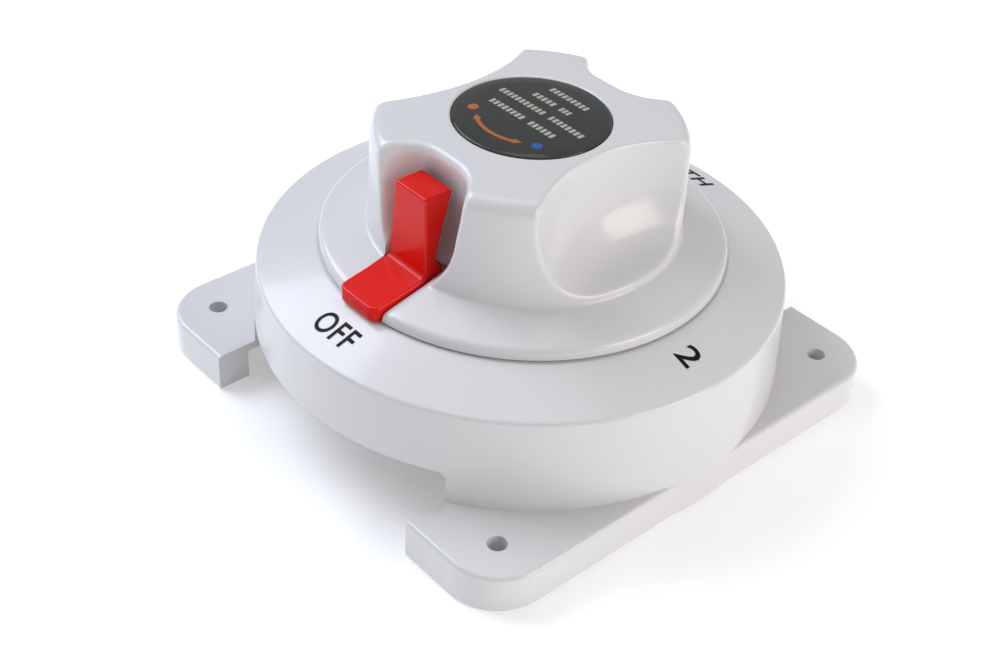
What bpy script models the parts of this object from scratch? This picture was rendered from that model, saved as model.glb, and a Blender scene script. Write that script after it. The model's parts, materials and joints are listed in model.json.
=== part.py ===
"""Marine battery selector switch: four positions, surface mounted, with a sprung lever on its knob.

The origin is the middle of the mounting face, +Z is up out of the boat's panel, and the OFF
position, which the pointer and the lever show at rest, is on the -Y side. Sizes are millimetres.
"""
import math

import bmesh
import bpy
from mathutils import Matrix, Vector

MM = 0.001
FINE, MEDIUM, COARSE = 48, 28, 14          # sides of large, middling and small round shapes

# ---- clearances -----------------------------------------------------------------------------
FIT = 0.3                    # between pieces that touch on the real switch
RUN = 0.5                    # between pieces that move past each other

# ---- housing --------------------------------------------------------------------------------
PLATE_WIDTH = 133.4          # the square of the four ears
PLATE_HEIGHT = 10.2
PLATE_CORNER = 13.8
EDGE_ROUND = 1.2
EAR_SKIN = 2.2               # top of the ears, which are hollow from below
EAR_SIDE_WALL = 3.0
EAR_END_WALL = 8.8
MOUNT_PITCH = 110.0
MOUNT_HOLE = 4.8
MOUNT_BOSS = 12.5
DRUM_FOOT_RADIUS = 67.15
DRUM_RIM_RADIUS = 66.0
DRUM_HEIGHT = 35.1
RIM_ROUND = 1.0
CROWN_RADIUS = 51.3          # where the sloping top turns level, under the knob's skirt
CROWN_HEIGHT = 40.0
WALL = 3.1
CABLE_GAP_WIDTH = 74.8       # openings on the OFF and BOTH sides
CABLE_GAP_HEIGHT = 18.5
CABLE_GAP_ROUND = 2.0
BEARING_BOSS_RADIUS = 10.0
BEARING_BOSS_HEIGHT = 5.6    # above the crown, inside the knob

# ---- contact base and terminals ----------------------------------------------------------------
BASE_UNDERSIDE = 19.2
BASE_THICKNESS = 4.8
GASKET_THICKNESS = 1.0
GASKET_WIDTH = 1.9
BASE_SCREW_CIRCLE = 56.5
BASE_SCREW_RADIUS = 1.8
BASE_SCREW_HEAD = 3.4
BASE_SCREW_REACH = 7.5       # how far it goes into the housing's boss
SCREW_BOSS_RADIUS = 3.9
FOOT_BOSS_RADIUS = 7.4       # carries the spindle's lower end
FOOT_BOSS_HEIGHT = 2.4
BARRIER_THICKNESS = 2.2
BARRIER_REACH = 42.0
BARRIER_DEPTH = 13.0
CONTACT_THICKNESS = 2.5
CONTACT_INNER = 23.5
CONTACT_OUTER = 37.5
CONTACT_ENDS = (-13.0, 81.0)  # degrees, for battery 2; battery 1 mirrors it
COMMON_RING = 16.8
COMMON_TAIL_WIDTH = 15.0
STUD_RADIUS = 4.75
STUD_HEAD = 15.0
STUD_HEAD_THICKNESS = 2.1
STUD_TIP = 3.2
STUD_CIRCLE = 30.5
STUD_ANGLES = {"common": -90.0, "1": 145.0, "2": 35.0}
WASHER_RADIUS = 10.0
WASHER_THICKNESS = 1.6
LOCK_WASHER_RADIUS = 8.4
LOCK_WASHER_THICKNESS = 2.3
NUT_ACROSS_FLATS = 16.0
NUT_THICKNESS = 8.0

# ---- spindle, rotor and detent -------------------------------------------------------------------
FOOT_JOURNAL_STEP = 0.1         # journal's radius below half the square it is turned from
FOOT_JOURNAL_DEPTH = 3.3     # into the base, below its top
SPINDLE_RADIUS = 6.0
SPINDLE_SQUARE = 8.2
SPINDLE_TOP = 62.0
ORING_WIRE = 0.9
CLIP_THICKNESS = 0.8
CLIP_WIDTH = 3.0
CONTACT_AIR = 0.4            # bridge above the fixed contacts
BRIDGE_THICKNESS = 2.0
BRIDGE_RING_OUTER = 16.6
BRIDGE_ARM_WIDTH = 15.0
BRIDGE_LIFT = 0.8
DRIVE_PIN_CIRCLE = 13.2
DRIVE_PIN_RADIUS = 1.7
ROTOR_HUB_RADIUS = 8.7
ROTOR_WEB = 3.2
ROTOR_RIM_INNER = 38.9
ROTOR_RIM_OUTER = 48.0
DETENT_CIRCLE = 43.5
DETENT_RING_THICKNESS = 1.9
DETENT_NOTCH = 1.35
PLUNGER_RADIUS = 2.5
PLUNGER_LENGTH = 4.0
PLUNGER_AIR = 0.35           # tip under the crests of the track
WELL_FLOOR = 1.5
SPRING_WIRE = 0.25
SPRING_TURNS = 3

# ---- knob --------------------------------------------------------------------------------------
KNOB_TOP = 74.0
KNOB_TOP_RADIUS = 38.1       # across the four lobes
KNOB_TOP_FALL = 1.4          # from the label to the edge of the lobes
KNOB_TOP_ROUND = 3.6
KNOB_FOOT_RADIUS = 38.6
KNOB_FOOT_HEIGHT = 46.1
SKIRT_RADIUS = 50.5
SKIRT_SHOULDER = 43.0
SKIRT_LIFT = 0.55            # skirt above the crown
SKIRT_WALL = 2.4
CAVITY_HALF_X = 20.0
CAVITY_HALF_Y = 21.5
CAVITY_TOP = 68.5
HUB_RADIUS = 8.6
HUB_WEB = 3.0
COUNTERBORE = 5.9
LABEL_RADIUS = 19.0
LABEL_THICKNESS = 1.4
LABEL_DOME = 0.4
GRIP_DEPTH = 21.8            # finger scoops on the 1 and 2 sides: from the axis to their face
GRIP_RADIUS = 43.0           # each is part of a wide upright bowl
GRIP_FLOOR = 48.2
GRIP_FOOT = (13.0, 20.2)     # across and up, of the long rounding at the bowl's foot
RECESS_DEPTH = 27.9          # narrower recesses on the OFF and BOTH sides
RECESS_WIDTH = 31.0
RECESS_FOOT_WIDTH = 20.5
RECESS_SHIFT = 1.9           # sideways, the same way round on both sides
RECESS_FLOOR = 46.7
RECESS_ROUND = 12.0
RECESS_LEAN = -7.0           # degrees that the face leans inward towards its foot
KNOB_SCREW_RADIUS = 2.4
KNOB_SCREW_HEAD = 4.4
KNOB_SCREW_LENGTH = 16.0
KNOB_WASHER_RADIUS = 5.2

# ---- lock lever ----------------------------------------------------------------------------------
LEVER_AXIS_Y = -33.8
LEVER_AXIS_Z = 44.6
LEVER_PIN_RADIUS = 1.2
LEVER_HEEL_RADIUS = 3.0
LEVER_FRONT_Y = -37.1
LEVER_TOP = 67.3
LEVER_TOP_BACK_Y = -28.6
LEVER_TOP_WIDTH = 11.0
LEVER_FOOT_WIDTH = 13.4
LEVER_TIP_Y = -52.2
LEVER_TIP_CORNER = 2.8
LEVER_FOOT_ROOT_Z = 46.6
LEVER_FOOT_TIP_Z = 43.9
LEVER_ROUND = 0.7
LEVER_SLOT_TOP = 53.2
LEVER_AIR = 0.35             # sole of the foot above the crown
LEVER_SPRING_RADIUS = 2.0
LEVER_SPRING_WIRE = 0.3
LEVER_NOTCH = 4.4
LEVER_WAIST = 3.2            # thickness of the arm above its heel
LEVER_WAIST_Z = 50.5
LUG_WIDTH = 3.6
LUG_DEPTH = 7.6

# ---- heights worked out from the sizes above -------------------------------------------------------
base_top = BASE_UNDERSIDE + BASE_THICKNESS
ledge_bottom = base_top + GASKET_THICKNESS + 2 * FIT
seat_radius = DRUM_FOOT_RADIUS - WALL
chamber_radius = seat_radius - GASKET_WIDTH - 2 * FIT
roof = CROWN_HEIGHT - WALL
contact_bottom = base_top + FIT
contact_top = contact_bottom + CONTACT_THICKNESS
bridge_bottom = contact_top + CONTACT_AIR
bridge_top = bridge_bottom + BRIDGE_THICKNESS
web_bottom = bridge_top + BRIDGE_LIFT + CONTACT_AIR
web_top = web_bottom + ROTOR_WEB
track_top = roof - FIT
track_bottom = track_top - DETENT_RING_THICKNESS
rim_top = track_bottom - RUN
rim_bottom = base_top + 1.2
hub_bottom = base_top + FOOT_BOSS_HEIGHT + RUN
clip_top = roof - FIT
clip_bottom = clip_top - CLIP_THICKNESS
rotor_top = clip_bottom - RUN
bearing_top = CROWN_HEIGHT + BEARING_BOSS_HEIGHT
knob_hub_bottom = bearing_top + RUN
socket_top = SPINDLE_TOP + RUN
hub_web_top = socket_top + HUB_WEB
skirt_bottom = CROWN_HEIGHT + SKIRT_LIFT
label_floor = KNOB_TOP - LABEL_THICKNESS - FIT
foot_journal = SPINDLE_SQUARE / 2 - FOOT_JOURNAL_STEP
bore_radius = SPINDLE_RADIUS + FIT

COLOURS = {                  # base colour, roughness, metallic
    "white plastic": ((0.80, 0.80, 0.82, 1), 0.28, 0.0),
    "red plastic": ((0.62, 0.02, 0.01, 1), 0.30, 0.0),
    "black plastic": ((0.03, 0.03, 0.032, 1), 0.55, 0.0),
    "label": ((0.07, 0.075, 0.075, 1), 0.15, 0.0),
    "rubber": ((0.02, 0.02, 0.02, 1), 0.8, 0.0),
    "acetal": ((0.55, 0.54, 0.50, 1), 0.45, 0.0),
    "copper": ((0.72, 0.36, 0.22, 1), 0.3, 1.0),
    "tinned copper": ((0.66, 0.64, 0.60, 1), 0.32, 1.0),
    "stainless steel": ((0.60, 0.60, 0.60, 1), 0.28, 1.0),
    "brass": ((0.70, 0.52, 0.24, 1), 0.3, 1.0),
}

for old in list(bpy.data.objects):
    bpy.data.objects.remove(old, do_unlink=True)

parts = bpy.data.collections.new("battery_switch")
cutters = bpy.data.collections.new("cutters")
for group in (parts, cutters):
    bpy.context.scene.collection.children.link(group)


# ---- tools -----------------------------------------------------------------------------------
def material(name):
    """The Principled material of one finish, made once."""
    found = bpy.data.materials.get(name)
    if found:
        return found
    made = bpy.data.materials.new(name)
    made.use_nodes = True
    colour, roughness, metallic = COLOURS[name]
    shader = made.node_tree.nodes["Principled BSDF"]
    shader.inputs["Base Color"].default_value = colour
    shader.inputs["Roughness"].default_value = roughness
    shader.inputs["Metallic"].default_value = metallic
    return made


def place(name, data, finish=None, at=(0, 0, 0)):
    """An object in the switch's collection, or a cutter where it has no finish."""
    made = bpy.data.objects.new(name, data)
    made.location = Vector(at) * MM
    if finish:
        parts.objects.link(made)
        data.materials.append(material(finish))
    else:
        cutters.objects.link(made)
        made.hide_render = True
        made.display_type = "WIRE"
    return made


def mesh_from(name, bm):
    """A smooth-shaded mesh, in metres, from a bmesh drawn in millimetres."""
    bmesh.ops.scale(bm, vec=(MM, MM, MM), verts=bm.verts)
    data = bpy.data.meshes.new(name)
    bm.to_mesh(data)
    bm.free()
    data.shade_smooth()
    data.set_sharp_from_angle(angle=math.radians(32))
    return data


def turned(name, profile, finish=None, steps=MEDIUM, at=(0, 0, 0), ring=False):
    """A turned shape; the profile's (radius, height) points run down its outer side."""
    bm = bmesh.new()
    verts = [bm.verts.new((r, 0, z)) for r, z in profile]
    for first, second in zip(verts, verts[1:]):
        bm.edges.new((first, second))
    if ring:
        bm.edges.new((verts[-1], verts[0]))
    made = place(name, mesh_from(name, bm), finish, at)
    screw = made.modifiers.new("Turn", "SCREW")
    screw.steps = screw.render_steps = steps
    screw.use_merge_vertices = True
    screw.merge_threshold = 0.00001
    return made


def cylinder(name, radius, bottom, top, finish=None, at=(0, 0), sides=COARSE, axis="Z",
             turn=0.0):
    """A cylinder between two heights, or between two X positions for an X axis."""
    bm = bmesh.new()
    bmesh.ops.create_cone(bm, cap_ends=True, segments=sides, radius1=radius, radius2=radius,
                          depth=top - bottom, matrix=Matrix.Rotation(math.radians(turn), 4, "Z"))
    bmesh.ops.translate(bm, vec=(0, 0, (top + bottom) / 2), verts=bm.verts)
    if axis == "X":
        bmesh.ops.rotate(bm, verts=bm.verts, cent=(0, 0, 0),
                         matrix=Matrix.Rotation(math.radians(90), 3, "Y"))
    place_at = (at[0], at[1], at[2] if len(at) > 2 else 0)
    return place(name, mesh_from(name, bm), finish, place_at)


def block(name, low, high, finish=None, rounding=0.0, segments=2, at=(0, 0, 0), edges="all"):
    """A box between two corners; edges may be limited to those along one axis."""
    bm = bmesh.new()
    bmesh.ops.create_cube(bm, size=1.0)
    size = [h - l for l, h in zip(low, high)]
    bmesh.ops.scale(bm, vec=size, verts=bm.verts)
    middle = [(h + l) / 2 for l, h in zip(low, high)]
    bmesh.ops.translate(bm, vec=middle, verts=bm.verts)
    if rounding:
        chosen = list(bm.edges)
        if edges != "all":
            axis = "XYZ".index(edges)
            chosen = [e for e in bm.edges
                      if abs((e.verts[0].co - e.verts[1].co)[axis]) > 0.5 * size[axis]]
        bmesh.ops.bevel(bm, geom=chosen, offset=rounding, segments=segments, affect="EDGES",
                        profile=0.5, clamp_overlap=True)
    return place(name, mesh_from(name, bm), finish, at)


def round_top_edge(thing, height, width):
    """Round the outline of a block's upper face."""
    bm = bmesh.new()
    bm.from_mesh(thing.data)
    level = height * MM - 0.00001
    rim = [e for e in bm.edges if min(v.co.z for v in e.verts) > level
           and any(f.normal.z < 0.5 for f in e.link_faces)]
    bmesh.ops.bevel(bm, geom=rim, offset=width * MM, segments=2, affect="EDGES", profile=0.5)
    bm.to_mesh(thing.data)
    bm.free()


def boolean(target, tool, operation):
    """Cut or join with the exact solver; the tool becomes a hidden guide."""
    if tool.name in parts.objects:
        parts.objects.unlink(tool)
        cutters.objects.link(tool)
    tool.hide_render = True
    tool.display_type = "WIRE"
    step = target.modifiers.new(tool.name, "BOOLEAN")
    step.operation = operation
    step.solver = "EXACT"
    step.object = tool


def cut(target, *tools):
    for tool in tools:
        boolean(target, tool, "DIFFERENCE")


def join(target, *tools):
    for tool in tools:
        boolean(target, tool, "UNION")


def polar(radius, degrees):
    angle = math.radians(degrees)
    return radius * math.cos(angle), radius * math.sin(angle)


def outline_prism(name, points, bottom, top, finish=None, at=(0, 0, 0)):
    """A flat outline, counter-clockwise, extruded between two heights."""
    bm = bmesh.new()
    face = bm.faces.new([bm.verts.new((x, y, bottom)) for x, y in points])
    raised = bmesh.ops.extrude_face_region(bm, geom=[face])
    lifted = [g for g in raised["geom"] if isinstance(g, bmesh.types.BMVert)]
    bmesh.ops.translate(bm, vec=(0, 0, top - bottom), verts=lifted)
    bmesh.ops.recalc_face_normals(bm, faces=bm.faces)
    return place(name, mesh_from(name, bm), finish, at)


def coil(name, radius, wire, bottom, top, turns, finish, at=(0, 0, 0)):
    """A compression spring about Z, its end turns closing up on themselves."""
    per_turn = 8
    count = turns * per_turn
    low, high = bottom + wire, top - wire
    data = bpy.data.curves.new(name, "CURVE")
    data.dimensions = "3D"
    data.bevel_depth = wire * MM
    data.bevel_resolution = 2
    data.use_fill_caps = True
    spline = data.splines.new("POLY")
    spline.points.add(count)
    for index, point in enumerate(spline.points):
        x, y = polar(radius, 360.0 * index / per_turn)
        z = low + (high - low) * index / count
        point.co = (x * MM, y * MM, z * MM, 1)
    return place(name, data, finish, at)


# ---- housing -----------------------------------------------------------------------------------
def build_housing():
    """Ears, round wall and crowned top, moulded in one and open below."""
    half = PLATE_WIDTH / 2
    housing = block("housing", (-half, -half, 0), (half, half, PLATE_HEIGHT), "white plastic",
                    PLATE_CORNER, 6, edges="Z")
    round_top_edge(housing, PLATE_HEIGHT, EDGE_ROUND)

    slope = (CROWN_HEIGHT - DRUM_HEIGHT) / (DRUM_RIM_RADIUS - CROWN_RADIUS)
    drum = turned("drum", [
        (0, CROWN_HEIGHT), (CROWN_RADIUS, CROWN_HEIGHT),
        (DRUM_RIM_RADIUS - 1.4 * RIM_ROUND, DRUM_HEIGHT + 1.4 * RIM_ROUND * slope),
        (DRUM_RIM_RADIUS - 0.4 * RIM_ROUND, DRUM_HEIGHT - 0.1 * RIM_ROUND),
        (DRUM_RIM_RADIUS, DRUM_HEIGHT - RIM_ROUND),
        (DRUM_FOOT_RADIUS, PLATE_HEIGHT), (DRUM_FOOT_RADIUS, 0), (0, 0)], steps=FINE)
    join(housing, drum)

    gap = CABLE_GAP_WIDTH / 2
    for side, name in ((-1, "off"), (1, "both")):
        far, near = side * (half + 20), side * 40
        opening = block("cable_gap_" + name, (-gap, min(far, near), -20),
                        (gap, max(far, near), CABLE_GAP_HEIGHT), None, CABLE_GAP_ROUND, 3, edges="Y")
        cut(housing, opening)

    tray_x = half - EAR_SIDE_WALL
    tray_y = half - EAR_END_WALL
    hollow = block("ear_hollow", (-tray_x, -tray_y, -20),
                   (tray_x, tray_y, PLATE_HEIGHT - EAR_SKIN), None, 3.0, 2, edges="Z")
    offset = MOUNT_PITCH / 2
    corners = [(sx * offset, sy * offset) for sx, sy in ((-1, -1), (1, -1), (1, 1), (-1, 1))]
    for index, at in enumerate(corners, 1):
        cut(hollow, cylinder(f"mount_boss_{index}", MOUNT_BOSS / 2, -30, PLATE_HEIGHT + 5, at=at,
                             sides=20))
    cut(housing, hollow)
    inside = roof - slope * (chamber_radius - CROWN_RADIUS)
    cut(housing, turned("chamber", [
        (0, roof), (CROWN_RADIUS, roof), (chamber_radius, inside),
        (chamber_radius, ledge_bottom), (seat_radius, ledge_bottom),
        (seat_radius, -20), (0, -20)], steps=FINE))

    for index, at in enumerate(corners, 1):
        cut(housing, cylinder(f"mount_hole_{index}", MOUNT_HOLE / 2, -5, PLATE_HEIGHT + 5, at=at))
        x, y = polar(BASE_SCREW_CIRCLE, 90 * index - 45)
        join(housing, cylinder(f"screw_boss_{index}", SCREW_BOSS_RADIUS, base_top + FIT,
                               inside + 1.0, at=(x, y)))
        cut(housing, cylinder(f"screw_bore_{index}", BASE_SCREW_RADIUS + FIT, base_top - 1,
                              base_top + BASE_SCREW_REACH + 2 * FIT, at=(x, y)))

    join(housing, cylinder("bearing_boss", BEARING_BOSS_RADIUS, roof + 1, bearing_top,
                           sides=MEDIUM))
    cut(housing, cylinder("bearing_bore", bore_radius, roof - 5, bearing_top + 5, sides=MEDIUM))


# ---- contact base and terminals ----------------------------------------------------------------
def build_contact_base():
    """The insulating floor: stud pockets above, barriers between the terminals below."""
    base = turned("contact_base", [
        (0, base_top + FOOT_BOSS_HEIGHT), (FOOT_BOSS_RADIUS, base_top + FOOT_BOSS_HEIGHT),
        (FOOT_BOSS_RADIUS, base_top), (seat_radius - FIT, base_top),
        (seat_radius - FIT, BASE_UNDERSIDE), (0, BASE_UNDERSIDE)], "black plastic", FINE)
    for index, angle in enumerate((90.0, 210.0, 330.0), 1):
        barrier = block(f"barrier_{index}",
                        (0, -BARRIER_THICKNESS / 2, BASE_UNDERSIDE - BARRIER_DEPTH),
                        (BARRIER_REACH, BARRIER_THICKNESS / 2, BASE_UNDERSIDE + 1))
        barrier.rotation_euler.z = math.radians(angle)
        join(base, barrier)
    cut(base, cylinder("foot_bore", foot_journal + FIT, base_top - FOOT_JOURNAL_DEPTH,
                       base_top + 10, sides=MEDIUM))
    pocket = STUD_HEAD / 2 + FIT
    for name, angle in STUD_ANGLES.items():
        x, y = polar(STUD_CIRCLE, angle)
        cut(base,
            block("pocket_" + name, (-pocket, -pocket, base_top - STUD_HEAD_THICKNESS - FIT),
                  (pocket, pocket, base_top + 5), at=(x, y, 0)),
            cylinder("stud_hole_" + name, STUD_RADIUS + FIT, 0, base_top, at=(x, y), sides=20))
    for index in range(1, 5):
        x, y = polar(BASE_SCREW_CIRCLE, 90 * index - 45)
        cut(base, cylinder(f"screw_way_{index}", BASE_SCREW_RADIUS + FIT, 0, base_top + 5,
                           at=(x, y)))
        build_base_screw(f"base_screw_{index}", x, y)

    turned("base_gasket", [
        (seat_radius - GASKET_WIDTH, base_top + FIT + GASKET_THICKNESS),
        (seat_radius - FIT, base_top + FIT + GASKET_THICKNESS),
        (seat_radius - FIT, base_top + FIT), (seat_radius - GASKET_WIDTH, base_top + FIT)],
        "rubber", FINE, ring=True)


def build_base_screw(name, x, y):
    """A pan-head screw driven up through the base into the housing's boss."""
    head_top = BASE_UNDERSIDE - FIT
    tip = base_top + BASE_SCREW_REACH
    screw = turned(name, [
        (0, tip), (BASE_SCREW_RADIUS * 0.5, tip), (BASE_SCREW_RADIUS, tip - 1.5),
        (BASE_SCREW_RADIUS, head_top), (BASE_SCREW_HEAD, head_top),
        (BASE_SCREW_HEAD, head_top - 1.3), (BASE_SCREW_HEAD * 0.7, head_top - 2.2),
        (0, head_top - 2.4)], "stainless steel", COARSE, at=(x, y, 0))
    for turn in (0, 90):
        arm = block(f"{name}_cross_{turn}", (-1.9, -0.45, -2), (1.9, 0.45, head_top - 1.2),
                    at=(x, y, 0))
        arm.rotation_euler.z = math.radians(turn)
        cut(screw, arm)


def arc_points(radius, start, end, count):
    return [polar(radius, start + (end - start) * i / count) for i in range(count + 1)]


def build_contacts():
    """Copper plates on the base: a keyhole-shaped common and an arc for each battery."""
    start, end = CONTACT_ENDS
    for name, first, last in (("2", start, end), ("1", 180 - end, 180 - start)):
        points = (arc_points(CONTACT_OUTER, first, last, 12)
                  + arc_points(CONTACT_INNER, last, first, 9))
        plate = outline_prism("contact_" + name, points, contact_bottom, contact_top, "copper")
        edge = plate.modifiers.new("Edge round", "BEVEL")
        edge.width = 0.4 * MM
        edge.segments = 1
        edge.limit_method = "ANGLE"
        edge.angle_limit = math.radians(60)

    common = turned("contact_common", [
        (FOOT_BOSS_RADIUS + 2 * FIT, contact_top), (COMMON_RING, contact_top),
        (COMMON_RING, contact_bottom), (FOOT_BOSS_RADIUS + 2 * FIT, contact_bottom)],
        "copper", MEDIUM, ring=True)
    half = COMMON_TAIL_WIDTH / 2
    join(common, block("common_tail", (-half, -CONTACT_OUTER, contact_bottom),
                       (half, -COMMON_RING * 0.75, contact_top), None, 3.0, 3, edges="Z"))


def build_terminal(name, angle):
    """One stud with its flat washer, split lock washer and hexagon nut."""
    x, y = polar(STUD_CIRCLE, angle)
    at = (x, y, 0)
    head_bottom = base_top - STUD_HEAD_THICKNESS
    half = STUD_HEAD / 2
    stud = turned("stud_" + name, [
        (0, head_bottom + 0.5), (STUD_RADIUS, head_bottom + 0.5), (STUD_RADIUS, STUD_TIP + 1.2),
        (STUD_RADIUS - 1.0, STUD_TIP), (0, STUD_TIP)], "tinned copper", 20, at=at)
    join(stud, block("stud_head_" + name, (-half, -half, head_bottom), (half, half, base_top),
                     None, 1.0, 2, at=at, edges="Z"))

    bore = STUD_RADIUS + FIT
    flat_top = BASE_UNDERSIDE - FIT
    flat_bottom = flat_top - WASHER_THICKNESS
    turned("flat_washer_" + name, [
        (bore, flat_top), (WASHER_RADIUS - 0.3, flat_top), (WASHER_RADIUS, flat_top - 0.3),
        (WASHER_RADIUS, flat_bottom), (bore, flat_bottom)], "stainless steel", 24, at, ring=True)

    lock_top = flat_bottom - FIT
    lock_bottom = lock_top - LOCK_WASHER_THICKNESS
    lock = turned("lock_washer_" + name, [
        (bore, lock_top), (LOCK_WASHER_RADIUS, lock_top), (LOCK_WASHER_RADIUS, lock_bottom),
        (bore, lock_bottom)], "stainless steel", 24, at, ring=True)
    split = block("lock_split_" + name, (0, -0.5, lock_bottom - 2), (20, 0.5, lock_top + 2), at=at)
    split.rotation_euler = (math.radians(25), 0, math.radians(angle))
    split.location.z = 0
    split.data.transform(Matrix.Translation((0, 0, -(lock_top + lock_bottom) / 2 * MM)))
    split.location.z = (lock_top + lock_bottom) / 2 * MM
    cut(lock, split)

    nut_top = lock_bottom - FIT
    nut_bottom = nut_top - NUT_THICKNESS
    corner = NUT_ACROSS_FLATS / 2 / math.cos(math.radians(30))
    nut = cylinder("hex_nut_" + name, corner, nut_bottom, nut_top, "stainless steel", at, 6,
                   turn=angle)
    chamfer = turned("nut_chamfer_" + name, [
        (0, nut_top + 0.01), (NUT_ACROSS_FLATS / 2 - 0.1, nut_top + 0.01),
        (corner + 0.1, nut_top - 0.9), (corner + 0.1, nut_bottom + 0.9),
        (NUT_ACROSS_FLATS / 2 - 0.1, nut_bottom - 0.01), (0, nut_bottom - 0.01)], steps=24, at=at)
    boolean(nut, chamfer, "INTERSECT")
    cut(nut, cylinder("nut_bore_" + name, bore, 0, BASE_UNDERSIDE, at=at, sides=20))


# ---- spindle and rotor ---------------------------------------------------------------------------
def build_spindle():
    """Stepped shaft: foot journal, square for the rotor, bearing, square for the knob."""
    foot = base_top - FOOT_JOURNAL_DEPTH + FIT
    spindle = turned("spindle", [
        (0, bearing_top), (SPINDLE_RADIUS, bearing_top), (SPINDLE_RADIUS, rotor_top),
        (foot_journal, rotor_top), (foot_journal, foot), (0, foot)], "brass")
    half = SPINDLE_SQUARE / 2
    join(spindle,
         block("lower_square", (-half, -half, hub_bottom + 1), (half, half, rotor_top + 0.5)),
         block("upper_square", (-half, -half, bearing_top - 1), (half, half, SPINDLE_TOP)))
    groove = SPINDLE_RADIUS - 2 * ORING_WIRE + FIT
    ring_z = bearing_top - 2.5
    cut(spindle,
        turned("clip_groove", [
            (SPINDLE_RADIUS - 1.0, clip_top + FIT), (20, clip_top + FIT),
            (20, clip_bottom - FIT), (SPINDLE_RADIUS - 1.0, clip_bottom - FIT)],
            ring=True),
        turned("oring_groove", [
            (groove - FIT, ring_z + 2 * ORING_WIRE), (20, ring_z + 2 * ORING_WIRE),
            (20, ring_z), (groove - FIT, ring_z)], ring=True),
        cylinder("screw_thread", KNOB_SCREW_RADIUS + FIT,
                 hub_web_top + 1 - KNOB_SCREW_LENGTH - 1, SPINDLE_TOP + 5))

    middle = ring_z + ORING_WIRE
    wire = ORING_WIRE - 0.1
    centre = (SPINDLE_RADIUS + groove) / 2 + 0.05
    turned("spindle_oring", [(centre + wire * math.sin(math.radians(60 * i)),
                              middle + wire * math.cos(math.radians(60 * i)))
                             for i in range(6)], "rubber", 28, ring=True)

    inner = SPINDLE_RADIUS - 1.0 + FIT
    clip = turned("spindle_clip", [
        (inner, clip_top), (inner + CLIP_WIDTH, clip_top), (inner + CLIP_WIDTH, clip_bottom),
        (inner, clip_bottom)], "stainless steel", ring=True)
    cut(clip, block("clip_mouth", (0, -2.6, clip_bottom - 2), (20, 2.6, clip_top + 2)))


def build_rotor():
    """The moulded carrier: hub on the square, web over the bridge, rim with detent wells."""
    rotor = turned("rotor", [
        (0, rotor_top), (ROTOR_HUB_RADIUS, rotor_top), (ROTOR_HUB_RADIUS, web_top),
        (ROTOR_RIM_INNER - 1.0, web_top), (ROTOR_RIM_INNER, rim_top), (ROTOR_RIM_OUTER, rim_top),
        (ROTOR_RIM_OUTER, rim_bottom), (ROTOR_RIM_INNER, rim_bottom),
        (ROTOR_RIM_INNER, web_bottom), (ROTOR_HUB_RADIUS, web_bottom),
        (ROTOR_HUB_RADIUS, hub_bottom), (0, hub_bottom)], "acetal", 40)
    square = SPINDLE_SQUARE / 2 + FIT
    cut(rotor, block("rotor_socket", (-square, -square, 0), (square, square, 60)))
    for side in (-1, 1):
        tag = "left" if side < 0 else "right"
        join(rotor, cylinder("drive_pin_" + tag, DRIVE_PIN_RADIUS, bridge_bottom + 0.4,
                             web_bottom + 1, at=(side * DRIVE_PIN_CIRCLE, 0)))
    for index, side in enumerate((-1, 1), 1):
        cut(rotor, cylinder(f"well_{index}", PLUNGER_RADIUS + FIT, rim_bottom + WELL_FLOOR,
                            rim_top + 5, at=(side * DETENT_CIRCLE, 0)))
        build_detent(index, side * DETENT_CIRCLE)
        cut(rotor, cylinder(f"spring_seat_{index}", contact_spring_radius + 2 * SPRING_WIRE,
                            web_bottom - 1, web_top - 0.8,
                            at=(0, contact_spring_places[index - 1])))
        coil(f"contact_spring_{index}", contact_spring_radius, SPRING_WIRE * 1.2,
             bridge_top + FIT, web_top - 0.8 - FIT, SPRING_TURNS, "stainless steel",
             at=(0, contact_spring_places[index - 1], 0))


def build_detent(index, x):
    """A domed plunger on its spring, under the notched track."""
    tip = track_bottom - PLUNGER_AIR
    bottom = tip - PLUNGER_LENGTH
    dome = [(PLUNGER_RADIUS * math.sin(math.radians(a)),
             tip - PLUNGER_RADIUS * 0.6 * (1 - math.cos(math.radians(a)))) for a in (0, 30, 60, 90)]
    turned(f"detent_plunger_{index}", dome + [(PLUNGER_RADIUS, bottom), (0, bottom)],
           "stainless steel", COARSE, at=(x, 0, 0))
    coil(f"detent_spring_{index}", PLUNGER_RADIUS - SPRING_WIRE - 0.2, SPRING_WIRE,
         rim_bottom + WELL_FLOOR + FIT, bottom - FIT, SPRING_TURNS, "stainless steel",
         at=(x, 0, 0))


def build_detent_ring():
    """The track under the cover; a notch across it gives each of the four stops."""
    inner = ROTOR_RIM_INNER - 0.3
    ring = turned("detent_ring", [
        (inner, track_top), (ROTOR_RIM_OUTER + 0.4, track_top),
        (ROTOR_RIM_OUTER + 0.4, track_bottom), (inner, track_bottom)], "acetal", 40, ring=True)
    for index in range(4):
        groove = cylinder(f"notch_{index}", PLUNGER_RADIUS + FIT, 30, 60,
                          at=(0, 0, track_bottom + DETENT_NOTCH - PLUNGER_RADIUS - FIT),
                          axis="X")
        groove.rotation_euler.z = math.radians(90 * index)
        cut(ring, groove)


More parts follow.
